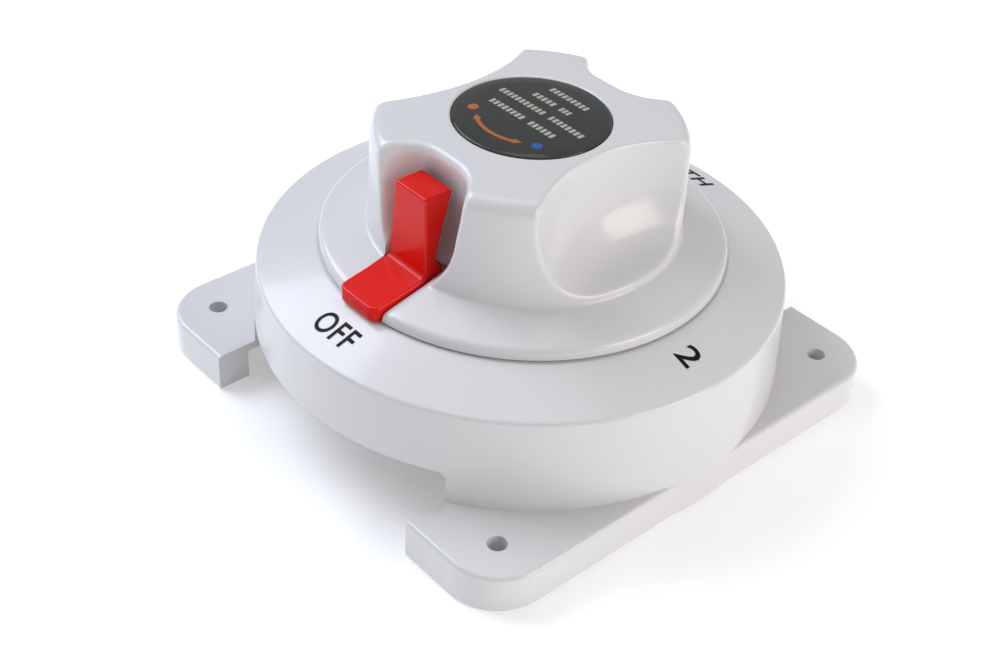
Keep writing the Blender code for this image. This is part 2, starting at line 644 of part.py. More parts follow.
def build_bridge():
    """The copper wiper: a ring always on the common contact and one arm."""
    half = BRIDGE_ARM_WIDTH / 2
    bridge = turned("contact_bridge", [
        (ROTOR_HUB_RADIUS + RUN, bridge_top), (BRIDGE_RING_OUTER, bridge_top),
        (BRIDGE_RING_OUTER, bridge_bottom), (ROTOR_HUB_RADIUS + RUN, bridge_bottom)],
        "tinned copper", MEDIUM, ring=True)
    join(bridge, block("bridge_arm", (-half, -CONTACT_OUTER + 0.6, bridge_bottom),
                       (half, -BRIDGE_RING_OUTER * 0.75, bridge_top), None, 3.0, 3, edges="Z"))
    for side in (-1, 1):
        cut(bridge, cylinder(f"drive_hole_{side + 1}", DRIVE_PIN_RADIUS + FIT, 0, 60,
                             at=(side * DRIVE_PIN_CIRCLE, 0)))


# ---- knob ----------------------------------------------------------------------------------------
def grip(name, angle):
    """A cutter for a finger scoop: a wide upright bowl beside the knob, its foot long-rounded."""
    across, up = GRIP_FOOT
    foot = [(GRIP_RADIUS - across * (1 - math.cos(math.radians(a))),
             GRIP_FLOOR + up * (1 - math.sin(math.radians(a)))) for a in range(0, 91, 15)]
    return turned(name, [(0, KNOB_TOP + 10), (GRIP_RADIUS, KNOB_TOP + 10)] + foot
                  + [(0, GRIP_FLOOR)], steps=64,
                  at=(*polar(GRIP_DEPTH + GRIP_RADIUS, angle), 0))


def recess(name, angle):
    """A cutter for a recess: a leaning face, large roundings, and sides that close in below."""
    tool = block(name, (RECESS_DEPTH, RECESS_SHIFT - RECESS_WIDTH / 2, RECESS_FLOOR),
                 (RECESS_DEPTH + 60, RECESS_SHIFT + RECESS_WIDTH / 2, KNOB_TOP + 40), None,
                 RECESS_ROUND, 5)
    shift = Matrix.Translation(Vector((RECESS_DEPTH, 0, KNOB_TOP)) * MM)
    tilt = Matrix.Rotation(math.radians(-RECESS_LEAN), 4, "Y")
    tool.data.transform(shift @ tilt @ shift.inverted())
    narrow = RECESS_FOOT_WIDTH / RECESS_WIDTH
    for vertex in tool.data.vertices:
        up = (vertex.co.z / MM - RECESS_FLOOR) / (KNOB_TOP - RECESS_FLOOR)
        side = vertex.co.y - RECESS_SHIFT * MM
        vertex.co.y = RECESS_SHIFT * MM + side * (narrow + (1 - narrow) * up)
    tool.rotation_euler.z = math.radians(angle)
    return tool


def build_knob():
    """Four lobes over a round skirt, hollow below around a square-socketed hub."""
    rounded = [(KNOB_TOP_RADIUS - KNOB_TOP_ROUND * (1 - math.sin(math.radians(a))),
                KNOB_TOP - KNOB_TOP_FALL - KNOB_TOP_ROUND * (1 - math.cos(math.radians(a))))
               for a in (8, 32, 58, 84)]
    inner_foot = SKIRT_RADIUS - SKIRT_WALL
    knob = turned("knob", [
        (0, label_floor), (LABEL_RADIUS + FIT, label_floor), (LABEL_RADIUS + FIT, KNOB_TOP)]
        + rounded + [
        (KNOB_FOOT_RADIUS, KNOB_FOOT_HEIGHT), (SKIRT_RADIUS - 1.2, SKIRT_SHOULDER + 0.35),
        (SKIRT_RADIUS - 0.2, SKIRT_SHOULDER - 0.5), (SKIRT_RADIUS, skirt_bottom),
        (inner_foot, skirt_bottom), (inner_foot - 0.5, SKIRT_SHOULDER - SKIRT_WALL * 0.6),
        (KNOB_FOOT_RADIUS - SKIRT_WALL, KNOB_FOOT_HEIGHT - SKIRT_WALL),
        (0, KNOB_FOOT_HEIGHT - SKIRT_WALL)], "white plastic", FINE)
    hollow_bottom = KNOB_FOOT_HEIGHT - SKIRT_WALL - 10
    cut(knob, block("knob_cavity", (-CAVITY_HALF_X, -CAVITY_HALF_Y, hollow_bottom),
                    (CAVITY_HALF_X, CAVITY_HALF_Y, CAVITY_TOP), None, 6.0, 3, edges="Z"))
    join(knob, cylinder("knob_hub", HUB_RADIUS, knob_hub_bottom, CAVITY_TOP + 1, sides=24))
    square = SPINDLE_SQUARE / 2 + FIT
    cut(knob,
        block("knob_socket", (-square, -square, 0), (square, square, socket_top)),
        cylinder("knob_screw_way", KNOB_SCREW_RADIUS + FIT, socket_top - 2, KNOB_TOP),
        cylinder("knob_counterbore", COUNTERBORE, hub_web_top, KNOB_TOP + 5, sides=24))
    for index, angle in enumerate((0, 180), 1):
        cut(knob, grip(f"grip_{index}", angle), recess(f"recess_{index}", angle - 90))

    slot = LEVER_FOOT_WIDTH / 2 + RUN
    heel_back = LEVER_AXIS_Y + LEVER_HEEL_RADIUS + RUN
    for side, tag in ((-1, "left"), (1, "right")):
        low, high = sorted((side * (slot - 1), side * (slot + LUG_WIDTH)))
        join(knob, block("lever_lug_" + tag,
                         (low, LEVER_AXIS_Y - LUG_DEPTH / 2, LEVER_AXIS_Z - LEVER_HEEL_RADIUS),
                         (high, LEVER_AXIS_Y + LUG_DEPTH / 2, KNOB_FOOT_HEIGHT - 0.6)))
    cut(knob,
        block("lever_slot", (-slot, -SKIRT_RADIUS - 5, 20),
              (slot, heel_back, LEVER_SLOT_TOP), None, 1.0, 2, edges="Z"),
        cylinder("lever_pin_way", LEVER_PIN_RADIUS + FIT, -slot - LUG_WIDTH - 5,
                 slot + LUG_WIDTH + 5, at=(0, LEVER_AXIS_Y, LEVER_AXIS_Z), axis="X"))

    turned("knob_label", [
        (0, KNOB_TOP + LABEL_DOME), (LABEL_RADIUS * 0.5, KNOB_TOP + LABEL_DOME * 0.75),
        (LABEL_RADIUS - 0.8, KNOB_TOP + LABEL_DOME * 0.1), (LABEL_RADIUS, KNOB_TOP - 0.4),
        (LABEL_RADIUS, KNOB_TOP - LABEL_THICKNESS), (0, KNOB_TOP - LABEL_THICKNESS)],
        "label", 48)

    washer_bottom = hub_web_top + FIT
    turned("knob_washer", [
        (KNOB_SCREW_RADIUS + FIT, washer_bottom + 1.0), (KNOB_WASHER_RADIUS, washer_bottom + 1.0),
        (KNOB_WASHER_RADIUS, washer_bottom), (KNOB_SCREW_RADIUS + FIT, washer_bottom)],
        "stainless steel", 20, ring=True)
    head_bottom = washer_bottom + 1.0 + FIT
    head_top = head_bottom + 3.2
    tip = head_bottom - KNOB_SCREW_LENGTH
    screw = turned("knob_screw", [
        (0, head_top), (KNOB_SCREW_HEAD - 0.5, head_top), (KNOB_SCREW_HEAD, head_top - 0.5),
        (KNOB_SCREW_HEAD, head_bottom), (KNOB_SCREW_RADIUS, head_bottom),
        (KNOB_SCREW_RADIUS, tip + 0.8), (KNOB_SCREW_RADIUS - 0.7, tip), (0, tip)],
        "stainless steel", 20)
    cut(screw, cylinder("screw_hex", 2.3, head_top - 1.8, head_top + 5, sides=6))


# ---- lock lever ------------------------------------------------------------------------------------
def build_lever():
    """The red lever: a thumb arm in the recess, a foot over the skirt, a heel on the pin."""
    sole = CROWN_HEIGHT + LEVER_AIR
    coil_room = LEVER_SPRING_RADIUS + LEVER_SPRING_WIRE + FIT
    side_view = [
        (LEVER_TOP_BACK_Y, LEVER_TOP), (LEVER_FRONT_Y + 0.5, LEVER_TOP),
        (LEVER_FRONT_Y, LEVER_FOOT_ROOT_Z), (LEVER_TIP_Y - 1.0, LEVER_FOOT_TIP_Z),
        (LEVER_TIP_Y - 1.0, sole),
        (LEVER_AXIS_Y - LEVER_HEEL_RADIUS - 1.5, sole)]
    side_view += [(LEVER_AXIS_Y + LEVER_HEEL_RADIUS * math.sin(math.radians(a)),
                   LEVER_AXIS_Z - LEVER_HEEL_RADIUS * math.cos(math.radians(a)))
                  for a in (-30, 10, 50, 90, 125)]
    side_view += [(LEVER_FRONT_Y + LEVER_WAIST, LEVER_WAIST_Z)]
    bm = bmesh.new()
    half_foot, half_top = LEVER_FOOT_WIDTH / 2, LEVER_TOP_WIDTH / 2
    rows = []
    for side in (-1, 1):
        row = []
        for y, z in side_view:
            share = max(0.0, (z - LEVER_FOOT_ROOT_Z) / (LEVER_TOP - LEVER_FOOT_ROOT_Z))
            half = half_foot + (half_top - half_foot) * share
            row.append(bm.verts.new((side * half, y - LEVER_AXIS_Y, z - LEVER_AXIS_Z)))
        rows.append(row)
    bm.faces.new(rows[0])
    bm.faces.new(rows[1][::-1])
    for i in range(len(side_view)):
        j = (i + 1) % len(side_view)
        bm.faces.new((rows[0][j], rows[0][i], rows[1][i], rows[1][j]))
    bmesh.ops.recalc_face_normals(bm, faces=bm.faces)
    lever = place("lock_lever", mesh_from("lock_lever", bm), "red plastic",
                  (0, LEVER_AXIS_Y, LEVER_AXIS_Z))
    boolean(lever, block("lever_tip", (-half_foot - FIT, LEVER_TIP_Y, sole - 5),
                         (half_foot + FIT, LEVER_AXIS_Y + 20, LEVER_TOP + 5), None,
                         LEVER_TIP_CORNER, 4, edges="Z"), "INTERSECT")
    edge = lever.modifiers.new("Edge round", "BEVEL")
    edge.width = LEVER_ROUND * MM
    edge.segments = 2
    edge.limit_method = "ANGLE"
    edge.angle_limit = math.radians(30)
    cut(lever,
        cylinder("lever_bore", LEVER_PIN_RADIUS + FIT, -20, 20,
                 at=(0, LEVER_AXIS_Y, LEVER_AXIS_Z), axis="X"),
        block("lever_notch", (-LEVER_NOTCH / 2, LEVER_AXIS_Y - coil_room, sole - 5),
              (LEVER_NOTCH / 2, LEVER_AXIS_Y + 20, LEVER_AXIS_Z + coil_room)))

    reach = LEVER_FOOT_WIDTH / 2 + RUN + LUG_WIDTH - 0.4
    cylinder("lever_pin", LEVER_PIN_RADIUS, -reach, reach, "stainless steel",
             (0, LEVER_AXIS_Y, LEVER_AXIS_Z), axis="X")
    build_lever_spring()


def build_lever_spring():
    """A torsion spring in the heel's notch: one leg up the arm's back, one under the knob."""
    turns, per_turn = 3, 8
    half = LEVER_NOTCH / 2 - LEVER_SPRING_WIRE - FIT
    total = turns * per_turn + per_turn // 4
    start = 90.0
    points = []
    for index in range(total + 1):
        angle = math.radians(start + 360.0 * index / per_turn)
        points.append((-half + 2 * half * index / total,
                       LEVER_SPRING_RADIUS * math.sin(angle),
                       LEVER_SPRING_RADIUS * math.cos(angle)))
    points.insert(0, (-half, LEVER_SPRING_RADIUS + 0.1, LEVER_SPRING_RADIUS - 0.4))
    points.append((half, 5.0, -LEVER_SPRING_RADIUS))
    data = bpy.data.curves.new("lever_spring", "CURVE")
    data.dimensions = "3D"
    data.bevel_depth = LEVER_SPRING_WIRE * MM
    data.bevel_resolution = 2
    data.use_fill_caps = True
    spline = data.splines.new("POLY")
    spline.points.add(len(points) - 1)
    for point, (x, y, z) in zip(spline.points, points):
        point.co = (x * MM, y * MM, z * MM, 1)
    place("lever_spring", data, "stainless steel", (0, LEVER_AXIS_Y, LEVER_AXIS_Z))


contact_spring_radius = 2.3
contact_spring_places = (-31.0, (ROTOR_HUB_RADIUS + RUN + BRIDGE_RING_OUTER) / 2)

build_housing()
build_contact_base()
build_contacts()
for terminal, where in STUD_ANGLES.items():
    build_terminal(terminal, where)
build_spindle()
build_rotor()
build_detent_ring()
build_bridge()
build_knob()
build_lever()
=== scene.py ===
import json
import math

import bmesh
import bpy
import numpy as np
from mathutils import Matrix, Vector

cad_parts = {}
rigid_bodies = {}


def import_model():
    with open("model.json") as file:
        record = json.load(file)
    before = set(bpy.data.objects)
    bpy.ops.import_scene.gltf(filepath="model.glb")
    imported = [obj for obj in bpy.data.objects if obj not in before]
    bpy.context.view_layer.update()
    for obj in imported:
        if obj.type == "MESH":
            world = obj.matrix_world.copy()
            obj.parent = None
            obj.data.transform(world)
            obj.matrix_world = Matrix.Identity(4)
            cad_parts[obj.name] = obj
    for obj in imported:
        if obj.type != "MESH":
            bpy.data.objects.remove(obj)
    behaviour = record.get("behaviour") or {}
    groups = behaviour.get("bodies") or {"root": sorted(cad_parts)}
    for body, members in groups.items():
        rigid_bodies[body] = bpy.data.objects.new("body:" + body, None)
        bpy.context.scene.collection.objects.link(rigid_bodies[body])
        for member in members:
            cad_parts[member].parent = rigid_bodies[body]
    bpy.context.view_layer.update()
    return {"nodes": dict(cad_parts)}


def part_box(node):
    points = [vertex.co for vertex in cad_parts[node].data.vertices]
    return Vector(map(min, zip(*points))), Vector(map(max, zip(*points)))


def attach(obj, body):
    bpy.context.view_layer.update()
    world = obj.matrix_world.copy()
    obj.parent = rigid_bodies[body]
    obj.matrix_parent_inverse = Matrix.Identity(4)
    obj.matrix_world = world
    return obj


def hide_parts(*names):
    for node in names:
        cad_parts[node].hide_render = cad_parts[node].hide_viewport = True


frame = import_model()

# ==== Camera, floor and studio light ===========================================================
# The switch stands on a plain pale floor. A large cool window lights the OFF and battery 1 sides,
# a smaller warm one the battery 2 side, and a broad overhead light keeps the tops even.
MM = 0.001
view = bpy.context.scene

camera = bpy.data.objects.new("camera", bpy.data.cameras.new("camera"))
view.collection.objects.link(camera)
view.camera = camera
camera.data.lens = 57.466
camera.data.sensor_width = 36.0
camera.data.clip_start = 0.01
azimuth, elevation, roll = (math.radians(a) for a in (46.261, 37.435, 3.748))
away = Vector((math.sin(azimuth) * math.cos(elevation),
               -math.cos(azimuth) * math.cos(elevation), math.sin(elevation)))
level = Vector((math.cos(azimuth), math.sin(azimuth), 0))
upright = away.cross(level)
across = math.cos(roll) * level + math.sin(roll) * upright
rising = -math.sin(roll) * level + math.cos(roll) * upright
place = away * 0.420581 - across * 0.003655 + rising * 0.008198
camera.matrix_world = Matrix((across, rising, away)).transposed().to_4x4()
camera.matrix_world.translation = place


def window(name, azimuth, elevation, distance, size, power, colour, aim=(0, 0, 0.04)):
    """A square area light; azimuth 0 is on the OFF side and 90 on the battery 2 side."""
    lamp = bpy.data.lights.new(name, "AREA")
    lamp.size = size
    lamp.energy = power
    lamp.color = colour
    made = bpy.data.objects.new(name, lamp)
    view.collection.objects.link(made)
    a, e = math.radians(azimuth), math.radians(elevation)
    spot = Vector((math.sin(a) * math.cos(e), -math.cos(a) * math.cos(e), math.sin(e))) * distance
    made.location = Vector(aim) + spot
    made.rotation_euler = spot.to_track_quat("Z", "Y").to_euler()


window("cool_window", -70, 42, 0.9, 0.60, 5.7, (0.80, 0.86, 1.0))
window("warm_window", 108, 20, 0.8, 0.45, 2.7, (1.0, 0.945, 0.89))
window("overhead", 250, 74, 1.1, 0.7, 1.6, (0.97, 0.98, 1.0))

sky = bpy.data.worlds.new("studio")
sky.use_nodes = True
sky.node_tree.nodes["Background"].inputs["Color"].default_value = (0.98, 0.985, 1.0, 1)
sky.node_tree.nodes["Background"].inputs["Strength"].default_value = 0.34
view.world = sky
view.view_settings.view_transform = "Standard"


class Wire:
    """One shader socket. Python's operators on it add the Math nodes."""

    def __init__(self, tree, socket):
        self.tree, self.socket = tree, socket

    def math(self, operation, *values):
        node = self.tree.nodes.new("ShaderNodeMath")
        node.operation = operation
        for entry, value in zip(node.inputs, values):
            if isinstance(value, Wire):
                self.tree.links.new(value.socket, entry)
            else:
                entry.default_value = value
        return Wire(self.tree, node.outputs[0])

    def __add__(self, other):
        return self.math("ADD", self, other)

    def __radd__(self, other):
        return self.math("ADD", other, self)

    def __sub__(self, other):
        return self.math("SUBTRACT", self, other)

    def __rsub__(self, other):
        return self.math("SUBTRACT", other, self)

    def __mul__(self, other):
        return self.math("MULTIPLY", self, other)

    def __rmul__(self, other):
        return self.math("MULTIPLY", other, self)

    def clamped(self, low, high):
        return self.math("MINIMUM", self.math("MAXIMUM", self, low), high)


class Finish:
    """One Principled material and the nodes that vary it."""

    def __init__(self, name, **constants):
        self.material = bpy.data.materials.new(name)
        self.material.use_nodes = True
        self.tree = self.material.node_tree
        self.shader = self.tree.nodes["Principled BSDF"]
        for socket, value in constants.items():
            self.shader.inputs[socket.replace("_", " ")].default_value = value

    def node(self, kind, settings, inputs, output=0):
        """Any node: its settings first, then the values or links of its sockets."""
        node = self.tree.nodes.new("ShaderNode" + kind)
        for key, value in settings.items():
            setattr(node, key, value)
        for key, value in inputs.items():
            if isinstance(value, Wire):
                self.tree.links.new(value.socket, node.inputs[key])
            else:
                node.inputs[key].default_value = value
        return Wire(self.tree, node.outputs[output])

    def place(self):
        """The point on the piece, in metres."""
        return self.node("TexCoord", {}, {}, "Object")

    def noise(self, grain, detail=3.0, roughness=0.55, stretch=(1, 1, 1)):
        """Noise from 0 to 1 whose blotches are about one grain across, in millimetres."""
        scaled = self.node("Mapping", {}, {"Vector": self.place(), "Scale": stretch})
        return self.node("TexNoise", {}, {"Vector": scaled, "Scale": 1000.0 / grain,
                                          "Detail": detail, "Roughness": roughness})

    def mix(self, share, first, second):
        """A colour between two colours."""
        def entry(value):
            return value if isinstance(value, Wire) else (*value, 1)
        return self.node("Mix", {"data_type": "RGBA"},
                         {0: share, 6: entry(first), 7: entry(second)}, 2)

    def drive(self, **wires):
        """Link worked-out values into the shader's own sockets."""
        for socket, wire in wires.items():
            self.tree.links.new(wire.socket, self.shader.inputs[socket.replace("_", " ")])

    def bump(self, *layers):
        """Relief from pairs of a height from 0 to 1 and its depth in millimetres."""
        normal = None
        for height, depth in layers:
            inputs = {"Height": height, "Distance": depth * MM, "Strength": 1.0}
            if normal:
                inputs["Normal"] = normal
            normal = self.node("Bump", {}, inputs)
        self.drive(Normal=normal)


floor_finish = Finish("floor_paint", Base_Color=(0.86, 0.86, 0.87, 1), Roughness=0.85)
floor_tone = floor_finish.noise(60, 2.0)
floor_finish.drive(Base_Color=floor_finish.mix(floor_tone, (0.90, 0.90, 0.905),
                                               (0.915, 0.915, 0.92)))
floor_finish.shader.inputs["Specular IOR Level"].default_value = 0.1
floor_finish.shader.inputs["Emission Color"].default_value = (1, 1, 1, 1)
floor_finish.shader.inputs["Emission Strength"].default_value = 0.30
floor_mesh = bpy.data.meshes.new("floor")
floor_mesh.from_pydata([(-6, -6, -0.0002), (6, -6, -0.0002), (6, 6, -0.0002), (-6, 6, -0.0002)],
                       [], [(0, 1, 2, 3)])
floor = bpy.data.objects.new("floor", floor_mesh)
view.collection.objects.link(floor)
floor_mesh.materials.append(floor_finish.material)

# ==== Housing ==================================================================================
# One injection moulding in glossy white plastic: four ears with thin hollow tops, a round wall
# with two cable openings, and a sloping crown with the bearing boss of the spindle in its middle.
plate_height = 10.2
plate_half = 66.7
crown_height = 40.0
crown_radius = 51.3
drum_height = 35.1
rim_radius = 66.0
crown_slope = (crown_height - drum_height) / (rim_radius - crown_radius)


def white_moulding(name, tint):
    """Glossy white plastic: a hint of orange peel, flow marks and fine handling marks."""
    plastic = Finish(name, Roughness=0.24, IOR=1.5, Coat_Weight=0.25, Coat_Roughness=0.08)
    flow = plastic.noise(34, 2.0, stretch=(1, 1, 0.5))
    speck = plastic.noise(0.8, 2.0)
    handled = plastic.noise(16, 3.0, 0.5)
    low = [c * 0.975 for c in tint]
    dust = ((speck - 0.70) * 8.0).clamped(0.0, 0.3)
    plastic.drive(Base_Color=plastic.mix(dust * 0.2, plastic.mix(flow, tint, low),
                                         (0.55, 0.54, 0.52)),
                  Roughness=0.19 + flow * 0.06 + handled * 0.05)
    plastic.bump((plastic.noise(6.0, 1.0), 0.008), (plastic.noise(0.9, 2.0), 0.0012))
    return plastic.material


white_plastic = white_moulding("white_plastic", (0.745, 0.738, 0.745))


def to_mesh(name, bm, crease=32):
    """A mesh in metres, smooth up to its creases, from a bmesh in millimetres."""
    bmesh.ops.scale(bm, vec=(MM, MM, MM), verts=bm.verts)
    data = bpy.data.meshes.new(name)
    bm.to_mesh(data)
    bm.free()
    data.shade_smooth()
    data.set_sharp_from_angle(angle=math.radians(crease))
    return data


def add(name, data, finish, body, nodes=()):
    """A finished piece in the scene, riding on its body and standing for its CAD nodes."""
    made = bpy.data.objects.new(name, data)
    view.collection.objects.link(made)
    data.materials.clear()
    data.materials.append(finish)
    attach(made, body)
    if nodes:
        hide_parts(*nodes)
    return made


def turned(profile, steps=128, ring=False, at=(0, 0)):
    """A turned bmesh; the (radius, height) points run down the outer side."""
    bm = bmesh.new()
    count = len(profile)
    rings = []
    for radius, height in profile:
        if radius == 0:
            rings.append([bm.verts.new((at[0], at[1], height))])
            continue
        rings.append([bm.verts.new((at[0] + radius * math.cos(math.tau * i / steps),
                                    at[1] + radius * math.sin(math.tau * i / steps), height))
                      for i in range(steps)])
    for k in range(count if ring else count - 1):
        upper, lower = rings[k], rings[(k + 1) % count]
        for i in range(steps):
            j = (i + 1) % steps
            corners = [upper[i % len(upper)], lower[i % len(lower)],
                       lower[j % len(lower)], upper[j % len(upper)]]
            loop = [v for n, v in enumerate(corners) if v is not corners[n - 1]]
            bm.faces.new(loop)
    bmesh.ops.recalc_face_normals(bm, faces=bm.faces)
    return bm


def prism(outline, bottom, top):
    """A flat outline extruded between two heights."""
    bm = bmesh.new()
    low = [bm.verts.new((x, y, bottom)) for x, y in outline]
    high = [bm.verts.new((x, y, top)) for x, y in outline]
    bm.faces.new(low[::-1])
    bm.faces.new(high)
    for i in range(len(outline)):
        j = (i + 1) % len(outline)
        bm.faces.new((low[i], low[j], high[j], high[i]))
    bmesh.ops.recalc_face_normals(bm, faces=bm.faces)
    return bm


def rounded_box(low, high, rounding=0.0, segments=4, along=None, at=(0, 0, 0)):
    """A box between two corners, rounded all over or only along one axis."""
    bm = bmesh.new()
    bmesh.ops.create_cube(bm, size=1.0)
    size = [h - l for l, h in zip(low, high)]
    bmesh.ops.scale(bm, vec=size, verts=bm.verts)
    bmesh.ops.translate(bm, vec=[(h + l) / 2 + a for l, h, a in zip(low, high, at)],
                        verts=bm.verts)
    if rounding:
        edges = list(bm.edges)
        if along:
            axis = "XYZ".index(along)
            edges = [e for e in edges
                     if abs((e.verts[0].co - e.verts[1].co)[axis]) > 0.5 * size[axis]]
        bmesh.ops.bevel(bm, geom=edges, offset=rounding, segments=segments, affect="EDGES",
                        profile=0.5, clamp_overlap=True)
    return bm


def shape(target, operation, *tools):
    """Cut or join a mesh with others by the exact solver; returns the resulting mesh."""
    holder = bpy.data.collections.new("tools")
    base = bpy.data.objects.new("base", target)
    view.collection.objects.link(base)
    view.collection.children.link(holder)
    for tool in tools:
        made = bpy.data.objects.new("tool", to_mesh("tool", tool))
        holder.objects.link(made)
    step = base.modifiers.new("shape", "BOOLEAN")
    step.operation = operation
    step.solver = "EXACT"
    step.operand_type = "COLLECTION"
    step.collection = holder
    bpy.context.view_layer.update()
    done = bpy.data.meshes.new_from_object(base.evaluated_get(
        bpy.context.evaluated_depsgraph_get()))
    for made in [base, *holder.objects]:
        bpy.data.objects.remove(made)
    bpy.data.collections.remove(holder)
    return done


def soften(data, width, crease=32, segments=3):
    """Round the creases of a mesh and let its flats keep their own normals."""
    made = bpy.data.objects.new("soften", data)
    view.collection.objects.link(made)
    edge = made.modifiers.new("edge", "BEVEL")
    edge.width = width * MM
    edge.segments = segments
    edge.limit_method = "ANGLE"
    edge.angle_limit = math.radians(crease)
    edge.harden_normals = True
    edge.miter_outer = "MITER_ARC"
    bpy.context.view_layer.update()
    done = bpy.data.meshes.new_from_object(made.evaluated_get(
        bpy.context.evaluated_depsgraph_get()))
    bpy.data.objects.remove(made)
    return done


plate = rounded_box((-plate_half, -plate_half, 0), (plate_half, plate_half, plate_height),
                    13.8, 14, along="Z")
rim = [e for e in plate.edges if min(v.co.z for v in e.verts) > plate_height - 0.01
       and any(f.normal.z < 0.5 for f in e.link_faces)]
bmesh.ops.bevel(plate, geom=rim, offset=1.2, segments=4, affect="EDGES", profile=0.5)
foot = [e for e in plate.edges if max(v.co.z for v in e.verts) < 0.01
        and any(f.normal.z > -0.5 for f in e.link_faces)]
bmesh.ops.bevel(plate, geom=foot, offset=0.4, segments=2, affect="EDGES", profile=0.5)

rim_arc = [(rim_radius - 1.2 + 1.2 * math.sin(math.radians(a)),
            drum_height - 1.0 + 1.2 * math.cos(math.radians(a))) for a in (18, 36, 54, 72, 88)]
drum = turned([(0, crown_height), (crown_radius - 0.6, crown_height),
               (crown_radius + 0.2, crown_height - 0.08), *rim_arc,
               (67.15, plate_height), (67.15, 0), (0, 0)])
housing_mesh = shape(to_mesh("housing", plate), "UNION", drum)

mount_places = [(sx * 55.0, sy * 55.0) for sx, sy in ((-1, -1), (1, -1), (1, 1), (-1, 1))]
hollow = to_mesh("hollow", rounded_box((-63.7, -57.9, -20), (63.7, 57.9, plate_height - 2.2),
                                       3.0, 4, along="Z"))
hollow = shape(hollow, "DIFFERENCE", *[
    turned([(0, plate_height + 5), (6.25, plate_height + 5), (6.25, -30), (0, -30)], 32, at=xy)
    for xy in mount_places])
hollow_bm = bmesh.new()
hollow_bm.from_mesh(hollow)
bmesh.ops.scale(hollow_bm, vec=(1 / MM,) * 3, verts=hollow_bm.verts)

cable_gaps = [rounded_box((-37.4, min(far, near), -20), (37.4, max(far, near), 18.5), 2.0, 5,
                          along="Y") for far, near in ((-86.7, -40), (86.7, 40))]
housing_mesh = shape(housing_mesh, "DIFFERENCE", hollow_bm, *cable_gaps)

base_low, base_high = (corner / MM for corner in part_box("contact_base"))
base_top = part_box("base_gasket")[0].z / MM - 0.3
seat_radius = base_high.x + 0.3
roof = crown_height - 3.1
chamber = turned([(0, roof), (crown_radius, roof), (61.55, roof - crown_slope * 10.25),
                  (61.55, base_top + 1.6), (seat_radius, base_top + 1.6), (seat_radius, -20),
                  (0, -20)])
housing_mesh = shape(housing_mesh, "DIFFERENCE", chamber)
screw_places = [(56.5 * math.cos(a), 56.5 * math.sin(a))
                for a in (math.radians(45 + 90 * k) for k in range(4))]
bosses = [turned([(0, roof - crown_slope * 5.5), (3.9, roof - crown_slope * 5.5),
                  (3.9, base_top + 0.6), (0, base_top + 0.6)], 28, at=xy) for xy in screw_places]
bearing = turned([(0, crown_height + 5.6), (9.4, crown_height + 5.6), (10, crown_height + 5.0),
                  (10, roof + 1), (0, roof + 1)], 64)
housing_mesh = shape(housing_mesh, "UNION", bearing, *bosses)
bores = [turned([(0, plate_height + 5), (2.4, plate_height + 5), (2.4, -5), (0, -5)], 32, at=xy)
         for xy in mount_places]
bores += [turned([(0, base_top + 8), (2.1, base_top + 8), (2.1, base_top - 1), (0, base_top - 1)],
                 24, at=xy) for xy in screw_places]
bores.append(turned([(0, crown_height + 9), (6.5, crown_height + 9), (6.5, roof - 5),
                     (0, roof - 5)], 64))
housing_mesh = shape(housing_mesh, "DIFFERENCE", *bores)
housing_mesh.set_sharp_from_angle(angle=math.radians(32))
housing = add("housing_shell", housing_mesh, white_plastic, "case", ["housing"])
flats = housing.modifiers.new("flats", "WEIGHTED_NORMAL")
flats.keep_sharp = True


# ==== Dial marks ===============================================================================
# The four stops are pad printed in black on the sloping crown, upright for someone who stands on
# the OFF side. The ink is a thin film that follows the slope.
ink = Finish("dial_ink", Roughness=0.55, Specular_IOR_Level=0.15)
ink_wear = ink.noise(0.7, 3.0)
ink.drive(Base_Color=ink.mix(((ink_wear - 0.60) * 6.0).clamped(0.0, 0.5), (0.006, 0.006, 0.007),
                             (0.03, 0.03, 0.033)))
ink.bump((ink.noise(0.5, 2.0), 0.004))


def on_crown(x, y, lift=0.03):
    """The height of the sloping crown at a place, a film's thickness above it."""
    return crown_height - crown_slope * (math.hypot(x, y) - crown_radius) + lift


def crown_mark(name, word, x, y, width, height):
    """A word set in a plain bold face, cut into strips and laid on the slope."""
    letters = bpy.data.curves.new(name, "FONT")
    letters.body = word
    letters.offset = 0.012
    letters.space_character = 1.08
    letters.resolution_u = 6
    holder = bpy.data.objects.new(name, letters)
    view.collection.objects.link(holder)
    bpy.context.view_layer.update()
    flat = bpy.data.meshes.new_from_object(
        holder.evaluated_get(bpy.context.evaluated_depsgraph_get()))
    bpy.data.objects.remove(holder)
    bm = bmesh.new()
    bm.from_mesh(flat)
    places = np.array([v.co[:2] for v in bm.verts])
    low, high = places.min(0), places.max(0)
    bmesh.ops.translate(bm, vec=(-(low[0] + high[0]) / 2, -(low[1] + high[1]) / 2, 0),
                        verts=bm.verts)
    bmesh.ops.scale(bm, vec=(width / (high[0] - low[0]), height / (high[1] - low[1]), 1),
                    verts=bm.verts)
    for axis, reach in (((1, 0, 0), width), ((0, 1, 0), height)):
        for k in range(1, int(reach)):
            bmesh.ops.bisect_plane(bm, geom=[*bm.verts, *bm.edges, *bm.faces],
                                   plane_co=Vector(axis) * (k - reach / 2), plane_no=axis)
    for v in bm.verts:
        v.co = (v.co.x + x, v.co.y + y, on_crown(v.co.x + x, v.co.y + y))
    return add(name, to_mesh(name, bm), ink.material, "case")


crown_mark("mark_off", "OFF", 0.3, -57.9, 12.6, 5.8)
crown_mark("mark_2", "2", 57.3, -0.4, 4.6, 6.2)
crown_mark("mark_both", "BOTH", 0, 57.9, 19.0, 5.8)
crown_mark("mark_1", "1", -57.3, 0.4, 2.4, 6.2)

